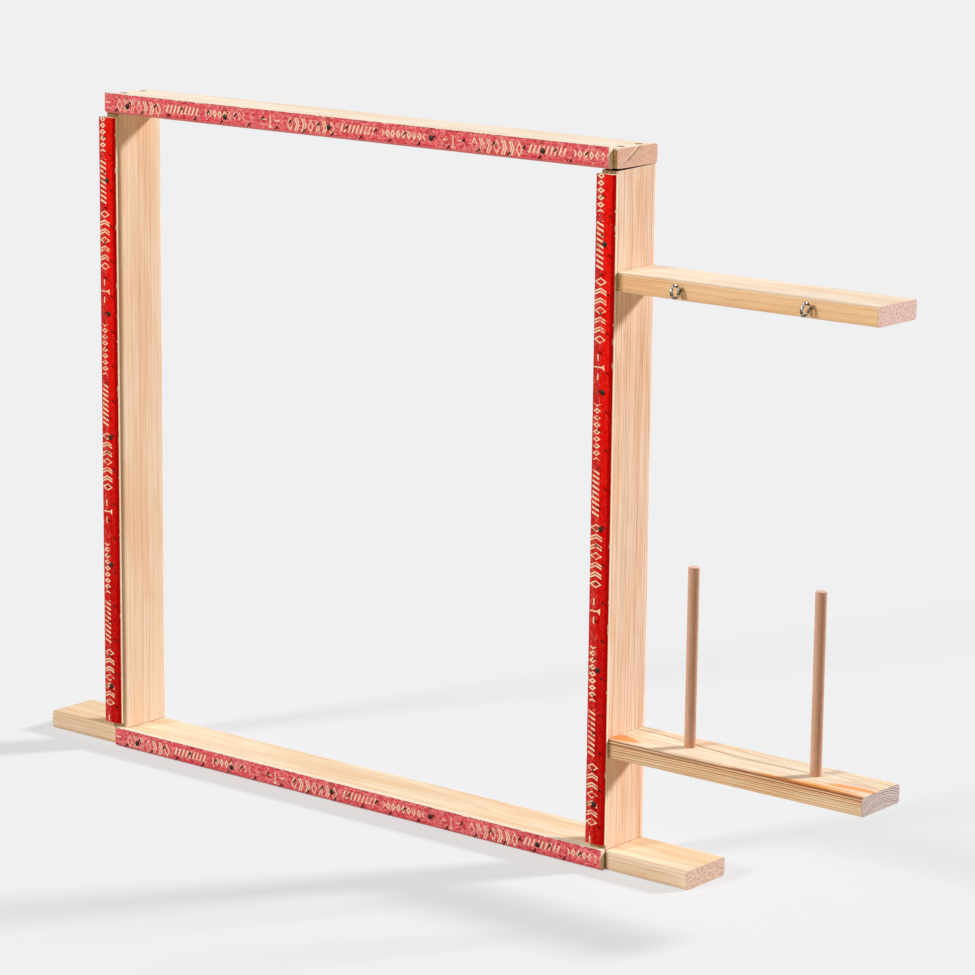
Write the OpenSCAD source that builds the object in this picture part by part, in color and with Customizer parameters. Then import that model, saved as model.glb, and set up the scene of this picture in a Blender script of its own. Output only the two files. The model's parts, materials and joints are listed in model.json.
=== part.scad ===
// Rug tufting frame. A long base plank, two posts and a top rail make an open window, and a
// gripper strip on the front of each of them holds the backing cloth on its slanted tack pins.
// Two arms on the right post serve the yarn: dowel pegs on the lower arm take the cones, and
// screw eyes in the upper arm's front edge guide the strands to the gun.
// Millimetres. X runs along the frame, Y from front to back and Z up. The origin is on the
// floor, midway between the posts and midway through the planks.

/* [Frame] */
// Width over the outer faces of the posts
frame_w = 728; // [500:1:1000]
// Height from the floor to the top of the rail
frame_h = 766; // [620:1:1000]
// Thickness of every plank
plank_t = 21; // [18:0.5:27]
// Width of every plank, which is the depth of the frame
plank_w = 69; // [60:1:90]
// Radius of the planks' eased long edges
edge_r = 4; // [1:0.5:6]
// Base plank beyond the left post
left_foot = 100; // [60:1:200]
// Base plank beyond the right post
right_foot = 107; // [60:1:200]

/* [Arms] */
// Length of both arms beyond the right post
arm_len = 320; // [240:1:400]
// Clear height between the rail and the upper arm
upper_arm_drop = 105; // [60:1:180]
// Height of the lower arm's underside
lower_arm_z = 123; // [70:1:200]

/* [Cone pegs] */
// Dowel diameter
peg_d = 12; // [8:0.5:16]
// Height of the pegs above the lower arm
peg_h = 193; // [100:1:240]
// Depth of the glued foot of a peg in the arm
peg_foot = 15; // [8:0.5:17]
// Chamfer on the top of a peg
peg_chamfer = 0.8; // [0.4:0.1:1.5]
// Distance of the inner peg from the right post
inner_peg_in = 83; // [50:1:110]
// Distance of the outer peg from the free end of the arm
outer_peg_in = 79; // [40:1:110]

/* [Screw eyes] */
// Outside diameter of the ring
eye_d = 16; // [12:0.5:22]
// Thickness of the wire
eye_wire = 3.2; // [1.6:0.1:3.4]
// Plain neck between the arm and the ring
eye_neck = 3; // [1:0.5:6]
// Length of the shank in the arm
eye_shank = 18; // [12:1:30]
// Gap left where the wire comes round to the neck, as an angle
eye_gap = 26; // [25:1:40]
// Turn of the inner eye out of the upright
inner_eye_turn = -4; // [-20:1:20]
// Turn of the outer eye out of the upright
outer_eye_turn = 8; // [-20:1:20]

/* [Gripper strips] */
// Width of the plywood strip
strip_w = 23; // [20:0.5:28]
// Thickness of the plywood strip
strip_t = 6.5; // [5:0.5:8]
// Width of the bevel along one front edge
bevel_w = 2.5; // [1:0.5:4]
// Depth of the same bevel
bevel_t = 3.5; // [1:0.5:4.5]
// How much shorter the two rail strips are than the frame
rail_strip_cut = 11; // [4:1:40]
// Distance of the top strip from the left end of the rail
top_strip_in = 5; // [0:1:11]
// Gap at both ends of the post strips
strip_gap = 5; // [2:0.5:20]
// Overhang of the left strip past the post's outer face
left_strip_out = 4.5; // [0:0.5:6]
// Overhang of the right strip past the post's outer face
right_strip_out = 2; // [0:0.5:6]

/* [Tack pins] */
// Wire diameter of a pin
pin_d = 1.6; // [1.2:0.1:2]
// How far a pin's point stands out from the strip
pin_out = 4.6; // [3:0.1:6]
// Lean of the pins towards the bevelled edge
pin_lean = 35; // [20:1:40]
// Length of a pin's point
pin_point = 2; // [1:0.1:3]
// Spacing along the strip from one pin to the next
pin_pitch = 20.3; // [15:0.1:30]
// Distance of the first pin from the strip's end
pin_first = 20; // [12:1:40]
// Row nearer to the bevelled edge, where the pins leave the face
pin_low = 6; // [5:0.5:8]
// Other row, from the strip's plain edge
pin_high_in = 8; // [7:0.5:9]

/* [Nails and screws] */
// Spacing of the nails that hold a strip
nail_pitch = 150; // [100:1:200]
// First nail of a rail strip from its end
rail_nail_first = 35; // [30:1:38]
// First nail of a post strip from its end
post_nail_first = 44; // [42:1:52]
// How far the nails stray from an even row, where 1 is as they were found and 0 is not at all
nail_stray = 1; // [0:0.1:1]
// Shank diameter of a nail
nail_d = 1.8; // [1.4:0.1:2.2]
// Head diameter of a nail
nail_head_d = 5.4; // [4:0.1:5.6]
// Height of a nail's head
nail_head_t = 0.9; // [0.5:0.1:1.5]
// Length of a nail under its head
nail_len = 22; // [15:1:23]
// Shank diameter of a wood screw
screw_d = 4; // [3.5:0.5:5]
// Head diameter of a wood screw
screw_head_d = 8; // [7:0.5:9]
// Length of a wood screw
screw_len = 45; // [38:1:60]
// Depth of the screw heads below the face
screw_sink = 0.4; // [0.2:0.1:1]
// Spacing of the two screws in a joint
screw_gap = 30; // [24:1:40]

/* [Fits] */
// Radial clearance of pins, nails and screw eyes in their holes
hole_play = 0.1; // [0.05:0.05:0.2]
// Radial clearance of the screws in their holes
screw_play = 0.15; // [0.1:0.05:0.3]
// How much smaller the foot of a peg is than its dowel, on the radius
foot_relief = 0.3; // [0.2:0.1:1]

/* [Hidden] */
$fn = 64;
over = 1;
left_x = -frame_w / 2;
right_x = frame_w / 2;
front_y = -plank_w / 2;
post_h = frame_h - 2 * plank_t;
rail_z = frame_h - plank_t;
base_len = left_foot + frame_w + right_foot;
upper_arm_z = rail_z - upper_arm_drop - plank_t;
inner_peg_x = right_x + inner_peg_in;
outer_peg_x = right_x + arm_len - outer_peg_in;
rail_strip_len = frame_w - rail_strip_cut;
post_strip_z = strip_w + strip_gap;
post_strip_len = rail_z - strip_gap - post_strip_z;
left_strip_x = left_x - left_strip_out + strip_w;
right_strip_x = right_x + right_strip_out;
eye_ring_r = (eye_d - eye_wire) / 2;
eye_mid_y = front_y - eye_neck - eye_ring_r;
eye_z = upper_arm_z + plank_t / 2;
screw_head_h = (screw_head_d - screw_d) / 2;
nail_y = -strip_t;
// How far each nail strays along and across its strip, from the left or lower end
rail_strays = [[0.8, -1.8], [1, -1.5], [3.6, 0], [-3, 0.5], [-3, 0]];
post_strays = [[0, 0.8], [-3.7, -1], [-2.2, -1.8], [-8, -1], [-4, -0.4]];
pine = [0.94, 0.79, 0.62];
dowel = [0.70, 0.51, 0.37];
red_print = [0.80, 0.25, 0.31];
red_paint = [0.80, 0.06, 0.06];
steel = [0.74, 0.74, 0.76];
dark_steel = [0.27, 0.25, 0.22];

// Node names, in the order of the lines at the end
// Node to draw, or all of them

// Planks

// Section of a plank with its four edges eased, standing on the X axis
module plank_section() {
    translate([edge_r - plank_w / 2, 0]) square([plank_w - 2 * edge_r, plank_t]);
    translate([-plank_w / 2, edge_r]) square([plank_w, plank_t - 2 * edge_r]);
    for (side = [-1, 1], z = [edge_r, plank_t - edge_r])
        translate([side * (plank_w / 2 - edge_r), z]) circle(edge_r);
}

// Plank lying along +X from the origin, with its underside at z = 0
module plank(len) {
    rotate([90, 0, 90]) linear_extrude(len) plank_section();
}

// Post standing on z = 0, with its outer face towards +X at x = 0
module upright(len) {
    rotate([0, -90, 0]) plank(len);
}

// Wood screws. The head lies at the origin, facing +Z, and the shank points down.

module screw() {
    shank_top = -screw_sink - screw_head_h;
    shank_len = screw_len - screw_head_h - screw_d;
    difference() {
        translate([0, 0, shank_top]) cylinder(h = screw_head_h, d1 = screw_d, d2 = screw_head_d);
        cross_recess();
    }
    translate([0, 0, shank_top - shank_len]) cylinder(h = shank_len, d = screw_d);
    translate([0, 0, shank_top - shank_len - screw_d]) cylinder(h = screw_d, d1 = 0, d2 = screw_d);
}

// Driver recess in a screw's head
module cross_recess() {
    slot = [screw_head_d * 0.56, screw_head_d * 0.13, screw_head_h];
    for (turn = [0, 90])
        rotate(turn) translate([-slot.x / 2, -slot.y / 2, -screw_sink - screw_head_h * 0.6]) cube(slot);
}

// Countersunk hole that takes the screw
module screw_hole() {
    cone_d = screw_head_d + 2 * screw_play;
    hole_d = screw_d + 2 * screw_play;
    translate([0, 0, -screw_sink]) cylinder(h = screw_sink + over, d = cone_d);
    translate([0, 0, -screw_sink - screw_head_h])
        cylinder(h = screw_head_h, d1 = hole_d, d2 = cone_d);
    translate([0, 0, -screw_len - over]) cylinder(h = screw_len + over - screw_sink, d = hole_d);
}

// Copies its children at the two screws of a joint
module screw_pair() {
    for (side = [-1, 1]) translate([0, side * screw_gap / 2, 0]) children();
}

// Places of the screws, as a face's point and direction for each joint
module at_rail_screws(x) {
    translate([x, 0, frame_h]) screw_pair() children();
}

module at_base_screws(x) {
    translate([x, 0, 0]) rotate([180, 0, 0]) screw_pair() children();
}

module at_arm_screws(z) {
    translate([right_x - plank_t, 0, z + plank_t / 2]) rotate([0, -90, 0]) screw_pair() children();
}

module rail_screws_left() color(dark_steel) at_rail_screws(left_x + plank_t / 2) screw();
module rail_screws_right() color(dark_steel) at_rail_screws(right_x - plank_t / 2) screw();
module base_screws_left() color(dark_steel) at_base_screws(left_x + plank_t / 2) screw();
module base_screws_right() color(dark_steel) at_base_screws(right_x - plank_t / 2) screw();
module upper_arm_screws() color(dark_steel) at_arm_screws(upper_arm_z) screw();
module lower_arm_screws() color(dark_steel) at_arm_screws(lower_arm_z) screw();

// Gripper strips. A strip lies along +X from the origin with its bevelled edge at z = 0,
// its back at y = 0 and its printed face at y = -strip_t.

// Section of a strip, with X as depth and Y as width
module strip_section() {
    polygon([
        [0, 0], [0, strip_w], [-strip_t, strip_w], [-strip_t, bevel_w], [bevel_t - strip_t, 0]
    ]);
}

module strip(len, nail_first, strays) {
    difference() {
        rotate([90, 0, 90]) linear_extrude(len) strip_section();
        at_pins(len) pin_hole();
        at_nails(len, nail_first, strays) nail_hole();
    }
}

// Copies its children at every pin: the odd ones stand in the high row
module at_pins(len) {
    last = floor((len - 2 * pin_first) / pin_pitch);
    rows = [pin_low, strip_w - pin_high_in];
    for (i = [0 : last])
        translate([pin_first + i * pin_pitch, -strip_t, rows[i % 2]])
            rotate([90 + pin_lean, 0, 0]) children();
}

// Tack pin. +Z is the way out of the strip, and z = 0 is where the pin's axis leaves the face.
module pin() {
    buried = (strip_t - over / 10) / cos(pin_lean) - pin_d / 2 * tan(pin_lean);
    shown = pin_out / cos(pin_lean);
    translate([0, 0, -buried]) cylinder(h = buried + shown - pin_point, d = pin_d, $fn = 24);
    translate([0, 0, shown - pin_point]) cylinder(h = pin_point, d1 = pin_d, d2 = 0, $fn = 24);
}

module pin_hole() {
    through = strip_t / cos(pin_lean) + over;
    translate([0, 0, -through]) cylinder(h = through + over, d = pin_d + 2 * hole_play, $fn = 24);
}

// Copies its children at every nail, near the strip's middle line
module at_nails(len, nail_first, strays) {
    last = floor((len - 2 * nail_first) / nail_pitch);
    for (i = [0 : last]) {
        stray = nail_stray * strays[i % len(strays)];
        translate([nail_first + i * nail_pitch + stray.x, nail_y, strip_w / 2 + stray.y])
            rotate([90, 0, 0]) children();
    }
}

// Nail. +Z points out of the strip, and z = 0 is the underside of the head.
module nail() {
    cylinder(h = nail_head_t, d1 = nail_head_d, d2 = nail_head_d * 0.8);
    translate([0, 0, nail_d - nail_len]) cylinder(h = nail_len - nail_d, d = nail_d);
    translate([0, 0, -nail_len]) cylinder(h = nail_d, d1 = 0, d2 = nail_d);
}

module nail_hole() {
    translate([0, 0, -nail_len - over]) cylinder(h = nail_len + 2 * over, d = nail_d + 2 * hole_play);
}

// Places of the four strips
module at_top_strip() {
    translate([left_x + top_strip_in, front_y, rail_z]) children();
}

module at_bottom_strip() {
    translate([right_x - rail_strip_len, front_y, 0]) children();
}

// A post strip stands up, with its bevelled edge on the right
module at_left_strip() {
    translate([left_strip_x, front_y, post_strip_z]) rotate([0, -90, 0]) children();
}

module at_right_strip() {
    translate([right_strip_x, front_y, post_strip_z]) rotate([0, -90, 0]) children();
}

module top_strip() color(red_print) at_top_strip() strip(rail_strip_len, rail_nail_first, rail_strays);
module bottom_strip() color(red_print) at_bottom_strip() strip(rail_strip_len, rail_nail_first, rail_strays);
module left_strip() color(red_paint) at_left_strip() strip(post_strip_len, post_nail_first, post_strays);
module right_strip() color(red_paint) at_right_strip() strip(post_strip_len, post_nail_first, post_strays);

module top_pins() color(steel) at_top_strip() at_pins(rail_strip_len) pin();
module bottom_pins() color(steel) at_bottom_strip() at_pins(rail_strip_len) pin();
module left_pins() color(steel) at_left_strip() at_pins(post_strip_len) pin();
module right_pins() color(steel) at_right_strip() at_pins(post_strip_len) pin();

module top_nails()
    color(dark_steel) at_top_strip() at_nails(rail_strip_len, rail_nail_first, rail_strays) nail();
module bottom_nails()
    color(dark_steel) at_bottom_strip() at_nails(rail_strip_len, rail_nail_first, rail_strays) nail();
module left_nails()
    color(dark_steel) at_left_strip() at_nails(post_strip_len, post_nail_first, post_strays) nail();
module right_nails()
    color(dark_steel) at_right_strip() at_nails(post_strip_len, post_nail_first, post_strays) nail();

// Timber of the frame

module base_plank() color(pine) difference() {
    translate([left_x - left_foot, 0, 0]) plank(base_len);
    at_base_screws(left_x + plank_t / 2) screw_hole();
    at_base_screws(right_x - plank_t / 2) screw_hole();
    at_bottom_strip() at_nails(rail_strip_len, rail_nail_first, rail_strays) nail_hole();
}

module left_post() color(pine) difference() {
    translate([left_x + plank_t, 0, plank_t]) upright(post_h);
    at_rail_screws(left_x + plank_t / 2) screw_hole();
    at_base_screws(left_x + plank_t / 2) screw_hole();
    at_left_strip() at_nails(post_strip_len, post_nail_first, post_strays) nail_hole();
}

module right_post() color(pine) difference() {
    translate([right_x, 0, plank_t]) upright(post_h);
    at_rail_screws(right_x - plank_t / 2) screw_hole();
    at_base_screws(right_x - plank_t / 2) screw_hole();
    at_arm_screws(upper_arm_z) screw_hole();
    at_arm_screws(lower_arm_z) screw_hole();
    at_right_strip() at_nails(post_strip_len, post_nail_first, post_strays) nail_hole();
}

module top_rail() color(pine) difference() {
    translate([left_x, 0, rail_z]) plank(frame_w);
    at_rail_screws(left_x + plank_t / 2) screw_hole();
    at_rail_screws(right_x - plank_t / 2) screw_hole();
    at_top_strip() at_nails(rail_strip_len, rail_nail_first, rail_strays) nail_hole();
}

// Arms, which butt against the right post's outer face

module upper_arm() color(pine) difference() {
    translate([right_x, 0, upper_arm_z]) plank(arm_len);
    at_arm_screws(upper_arm_z) screw_hole();
    for (x = [inner_peg_x, outer_peg_x]) at_eye(x, 0) eye_hole();
}

module lower_arm() color(pine) difference() {
    translate([right_x, 0, lower_arm_z]) plank(arm_len);
    at_arm_screws(lower_arm_z) screw_hole();
    for (x = [inner_peg_x, outer_peg_x]) at_peg(x) foot_hole();
}

// Cone pegs, plain dowels whose feet are glued into the lower arm

module at_peg(x) {
    translate([x, 0, lower_arm_z + plank_t]) children();
}

module peg() {
    cylinder(h = peg_h - peg_chamfer, d = peg_d);
    translate([0, 0, peg_h - peg_chamfer])
        cylinder(h = peg_chamfer, d1 = peg_d, d2 = peg_d - 2 * peg_chamfer);
    translate([0, 0, -peg_foot]) cylinder(h = peg_foot, d = peg_d - 2 * foot_relief);
}

module foot_hole() {
    translate([0, 0, -peg_foot - hole_play])
        cylinder(h = peg_foot + hole_play + over, d = peg_d - 2 * foot_relief + 2 * hole_play);
}

module inner_peg() color(dowel) at_peg(inner_peg_x) peg();
module outer_peg() color(dowel) at_peg(outer_peg_x) peg();

// Screw eyes, each above its peg. The ring's centre is the origin and +Y leads to the arm.

module at_eye(x, turn) {
    translate([x, eye_mid_y, eye_z]) rotate([0, turn, 0]) children();
}

module eye() {
    rotate([90, 0, 90]) rotate_extrude(angle = 360 - eye_gap)
        translate([eye_ring_r, 0]) circle(d = eye_wire, $fn = 32);
    translate([0, eye_ring_r, 0]) sphere(d = eye_wire, $fn = 32);
    straight = eye_neck + eye_shank - eye_wire;
    translate([0, eye_ring_r, 0]) rotate([-90, 0, 0]) cylinder(h = straight, d = eye_wire, $fn = 32);
    translate([0, eye_ring_r + straight, 0])
        rotate([-90, 0, 0]) cylinder(h = eye_wire, d1 = eye_wire, d2 = 0, $fn = 32);
}

module eye_hole() {
    translate([0, eye_ring_r + eye_neck - over, 0]) rotate([-90, 0, 0])
        cylinder(h = eye_shank + 2 * over, d = eye_wire + 2 * hole_play, $fn = 32);
}

module inner_eye() color(steel) at_eye(inner_peg_x, inner_eye_turn) eye();
module outer_eye() color(steel) at_eye(outer_peg_x, outer_eye_turn) eye();

base_plank();
left_post();
right_post();
top_rail();
upper_arm();
lower_arm();
inner_peg();
outer_peg();
inner_eye();
outer_eye();
top_strip();
bottom_strip();
left_strip();
right_strip();
top_pins();
bottom_pins();
left_pins();
right_pins();
top_nails();
bottom_nails();
left_nails();
right_nails();
rail_screws_left();
rail_screws_right();
base_screws_left();
base_screws_right();
upper_arm_screws();
lower_arm_screws();
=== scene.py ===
# %% [markdown]
# # A rug tufting frame
#
# The object is a small wooden frame for tufting rugs. Four pine planks make an open window, and a
# red gripper strip on the front of each of them holds the backing cloth on slanted tack pins.
# Two arms on the right serve the yarn: the lower one carries two pegs for the cones, and the upper
# one has two screw eyes that guide the strands.
#
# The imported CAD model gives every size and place. This script makes the pieces again with the
# small things that a CAD model leaves out, such as broken arrises, chips and threads, and gives
# each of them a finish. One piece is still wrong: the screws have lost their heads, as their own
# cell says. It begins by loading that model as a fixed frame.

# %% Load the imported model
import json
import math
import random

import bmesh
import bpy
from mathutils import Matrix, Vector


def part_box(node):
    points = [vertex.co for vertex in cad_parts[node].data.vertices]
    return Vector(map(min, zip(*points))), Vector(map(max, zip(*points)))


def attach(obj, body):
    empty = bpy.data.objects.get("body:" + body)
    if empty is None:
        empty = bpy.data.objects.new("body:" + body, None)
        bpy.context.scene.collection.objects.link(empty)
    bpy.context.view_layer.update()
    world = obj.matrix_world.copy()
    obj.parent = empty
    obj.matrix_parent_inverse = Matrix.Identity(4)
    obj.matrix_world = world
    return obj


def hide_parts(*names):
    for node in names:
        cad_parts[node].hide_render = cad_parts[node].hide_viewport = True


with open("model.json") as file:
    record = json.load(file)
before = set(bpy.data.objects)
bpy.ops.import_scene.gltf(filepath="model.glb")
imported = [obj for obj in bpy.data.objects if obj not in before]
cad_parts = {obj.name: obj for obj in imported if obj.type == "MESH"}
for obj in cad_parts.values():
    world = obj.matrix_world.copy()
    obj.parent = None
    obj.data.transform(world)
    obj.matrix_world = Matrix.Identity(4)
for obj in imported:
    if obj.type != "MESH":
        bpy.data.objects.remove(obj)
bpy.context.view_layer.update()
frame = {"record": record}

# %% [markdown]
# ## Sizes
#
# Blender works in metres and a maker thinks in millimetres, so MM turns one into the other. The
# timber is measured from the CAD nodes, and the few sizes that a box can't show, such as the
# radius of an eased edge, are the real ones of the pieces.

# %% Measure the timber
MM = 0.001


def measured(node):
    """Lowest corner and size of a CAD node, in millimetres."""
    low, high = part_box(node)
    return Vector(low) / MM, (Vector(high) - Vector(low)) / MM


PLANK_WIDTH = measured("base_plank")[1].y
PLANK_THICK = measured("base_plank")[1].z
EASED_EDGE = 4.0
print("planks:", round(PLANK_WIDTH, 2), "by", round(PLANK_THICK, 2), "mm")

# %% [markdown]
# ## The bench
#
# Every piece is made lying on a bench and then carried to its place. On the bench, X runs along
# the piece, so one function can make a post and a rail. The mesh also keeps its bench coordinates,
# in millimetres, as an attribute of its points. The materials read them, so that grain and print
# follow the piece wherever it stands.

# %% Helpers for making pieces
def new_object(name, bm):
    """Turns a bmesh into an object of the scene."""
    mesh = bpy.data.meshes.new(name)
    bmesh.ops.recalc_face_normals(bm, faces=bm.faces)
    bm.to_mesh(mesh)
    bm.free()
    thing = bpy.data.objects.new(name, mesh)
    bpy.context.collection.objects.link(thing)
    return thing


def skin(bm, rings):
    """Joins rings of points into a tube, and closes its two ends."""
    loops = [[bm.verts.new(point) for point in ring] for ring in rings]
    for near, far in zip(loops, loops[1:]):
        for i in range(len(near)):
            j = (i + 1) % len(near)
            bm.faces.new((near[i], near[j], far[j], far[i]))
    bm.faces.new(loops[0])
    bm.faces.new(reversed(loops[-1]))


def spun(place, height, sides, reach, start=0.0):
    """A ring of points about Z. Its reach is a radius, or a function that gives one for each angle."""
    ring = []
    for i in range(sides):
        angle = 2 * math.pi * (i + start) / sides
        radius = reach(angle) if callable(reach) else reach
        ring.append(place @ Vector((radius * math.cos(angle), radius * math.sin(angle), height)) * MM)
    return ring


def turned(bm, profile, sides, place=Matrix()):
    """Turns a profile of (radius, height) about Z, as on a lathe."""
    skin(bm, [spun(place, height, sides, radius) for radius, height in profile])


def carve(piece, cutter):
    """Cuts the cutter's shape out of a piece, and throws the cutter away."""
    tool = piece.modifiers.new("carve", "BOOLEAN")
    tool.operation, tool.solver, tool.object = "DIFFERENCE", "EXACT", cutter
    seen = piece.evaluated_get(bpy.context.evaluated_depsgraph_get())
    shaped = bpy.data.meshes.new_from_object(seen)
    piece.modifiers.clear()
    piece.data = shaped
    bpy.data.objects.remove(cutter)


# %% [markdown]
# A finished piece is carried from the bench to its place. One function does this for all of them,
# so that none is forgotten: it keeps the bench coordinates, turns the mesh to where it belongs,
# smooths the shading but not the sharp edges, and hides the CAD node that the piece stands for.

# %% Helpers for placing pieces
UPRIGHT = Matrix.Rotation(math.radians(-90), 4, "Y")


def stance(node, y=0.0):
    """How a bench piece stands for its node: its place, lying or turned up as a post, and its length."""
    low, size = measured(node)
    stands = size.z > size.x
    place = Matrix.Translation(Vector((low.x + (size.x if stands else 0.0), y, low.z)) * MM)
    return (place @ UPRIGHT, size.z) if stands else (place, size.x)


def finish_piece(piece, node, place, material, sharp=40, grain=Matrix(), weighted=False):
    """Keeps the bench coordinates, carries the piece to its place, and gives it its finish."""
    mesh = piece.data
    bench = mesh.attributes.new("bench", "FLOAT_VECTOR", "POINT")
    for i, vertex in enumerate(mesh.vertices):
        bench.data[i].vector = grain @ (vertex.co / MM)
    mesh.transform(place)
    mesh.shade_smooth()
    mesh.set_sharp_from_angle(angle=math.radians(sharp))
    if weighted:
        even = piece.modifiers.new("even shading", "WEIGHTED_NORMAL")
        even.keep_sharp = True
    mesh.materials.clear()
    mesh.materials.append(material)
    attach(piece, "root")
    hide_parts(node)
    next(s["material_slot"] for s in frame["record"]["subparts"] if s["node"] == node)
    print(piece.name, "for", node, "-", len(mesh.vertices), "points")


# %% [markdown]
# ## A way to write materials
#
# A material is a tree of nodes, and each node does one small sum. Wired by hand, a wood grain
# takes a screen full of boxes. Here a Wire stands for one socket, and adding or multiplying two
# wires makes the Math node that does it, so a pattern reads like the formula that it is.


# %% Wires
class Wire:
    """The value on its way from one node to the next."""

    def __init__(self, board, socket):
        self.board, self.socket = board, socket

    def sum(self, kind, *others):
        return self.board.sum(kind, self, *others)

    def __add__(self, other):
        return self.sum("ADD", other)

    def __sub__(self, other):
        return self.sum("SUBTRACT", other)

    def __rsub__(self, other):
        return self.board.sum("SUBTRACT", other, self)

    def __mul__(self, other):
        return self.sum("MULTIPLY", other)

    def __truediv__(self, other):
        return self.sum("DIVIDE", other)

    def size(self):
        return self.sum("ABSOLUTE")

    def part(self):
        return self.sum("FRACT")

    def under(self, limit):
        return self.sum("LESS_THAN", limit)

    def over(self, limit):
        return self.sum("GREATER_THAN", limit)


# %% [markdown]
# A Board is one material's whole tree. Its methods are the few nodes that all the finishes here
# are made of: noise, a soft step, a mix of two colours, and a look at which way the surface faces.
# Each gives back a Wire, so the next step can go on from it.


# %% Boards
class Board:
    """A material's node tree, with short ways to add to it."""

    def __init__(self, name):
        self.material = bpy.data.materials.new(name)
        self.material.use_nodes = True
        self.nodes, self.links = self.material.node_tree.nodes, self.material.node_tree.links
        self.shader = self.nodes["Principled BSDF"]

    def plug(self, value, socket):
        """Connects a wire to a socket, or writes a number or a colour into it."""
        if isinstance(value, Wire):
            self.links.new(value.socket, socket)
        elif isinstance(value, str):
            socket.default_value = (*paint(value), 1.0)
        else:
            socket.default_value = value

    def node(self, kind, output, values=(), **settings):
        """Adds a node, sets it up, and feeds its sockets in their order, or by name or number."""
        node = self.nodes.new("ShaderNode" + kind)
        for setting, choice in settings.items():
            setattr(node, setting, choice)
        for socket, value in (values if isinstance(values, dict) else dict(enumerate(values))).items():
            self.plug(value, node.inputs[socket])
        return Wire(self, node.outputs[output])

    def sum(self, kind, *values):
        return self.node("Math", 0, values, operation=kind)

    def away(self, x, y):
        """How far it is to a place that lies x and y off."""
        return (x * x + y * y).sum("SQRT")

    def bench(self):
        """The piece's own coordinates, in millimetres."""
        return self.node("Attribute", "Vector", attribute_name="bench")

    def mark(self, name):
        """A number that the mesh carries on its points."""
        return self.node("Attribute", "Fac", attribute_name=name)

    def facing(self):
        """The way the surface faces, as three wires."""
        return self.split(self.node("TexCoord", "Normal"))

    def split(self, vector):
        first = self.node("SeparateXYZ", 0, (vector,))
        return [Wire(self, output) for output in first.socket.node.outputs]

    def join(self, x, y, z):
        return self.node("CombineXYZ", 0, (x, y, z))

    def noise(self, vector, scale, detail=2.0, rough=0.5, shift=0.0):
        """Cloudy noise from 0 to 1, with its scale stated for each axis, in waves per millimetre."""
        scales = scale if isinstance(scale, tuple) else (scale,) * 3
        shifts = (shift, shift * 0.7, shift * 1.3)
        spread = self.node("VectorMath", 0, (vector, scales, shifts), operation="MULTIPLY_ADD")
        values = {"Vector": spread, "Scale": 1.0, "Detail": detail, "Roughness": rough}
        return self.node("TexNoise", "Fac", values)

    def lottery(self, value):
        """One random number for each whole number."""
        return self.node("TexWhiteNoise", "Value", {"W": value}, noise_dimensions="1D")

    def ease(self, value, low, high):
        """0 below low and 1 above high, with a soft step between. High may be the lower one."""
        flip = high < low
        numbers = (value, min(low, high), max(low, high), float(flip), float(not flip))
        return self.node("MapRange", 0, numbers, interpolation_type="SMOOTHSTEP")

    def blend(self, share, first, second, kind="MIX"):
        """Mixes two colours. In a Mix node, sockets 6 and 7 are the colours, and output 2 is the mix."""
        return self.node("Mix", 2, {0: share, 6: first, 7: second}, data_type="RGBA", blend_type=kind)

    def coats(self, colour, *layers):
        """Lays tones over a colour one after another, each as (share, tone)."""
        for share, tone in layers:
            colour = self.blend(share, colour, tone)
        return colour

    def surface(self, colour, rough, height=None, depth=0.1, metal=0.0, gloss=0.5):
        """Connects the finish, and returns the material."""
        self.shader.inputs["Specular IOR Level"].default_value = gloss
        self.plug(colour, self.shader.inputs["Base Color"])
        self.plug(rough, self.shader.inputs["Roughness"])
        self.shader.inputs["Metallic"].default_value = metal
        if height is not None:
            bump = self.node("Bump", 0, {"Strength": 1.0, "Distance": depth * MM, "Height": height})
            self.plug(bump, self.shader.inputs["Normal"])
        return self.material


def paint(hexcode):
    """A colour as it is written for a screen, turned into the linear numbers that light uses."""
    parts = [int(hexcode[i:i + 2], 16) / 255 for i in (1, 3, 5)]
    return [p / 12.92 if p <= 0.04045 else ((p + 0.055) / 1.055) ** 2.4 for p in parts]
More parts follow.
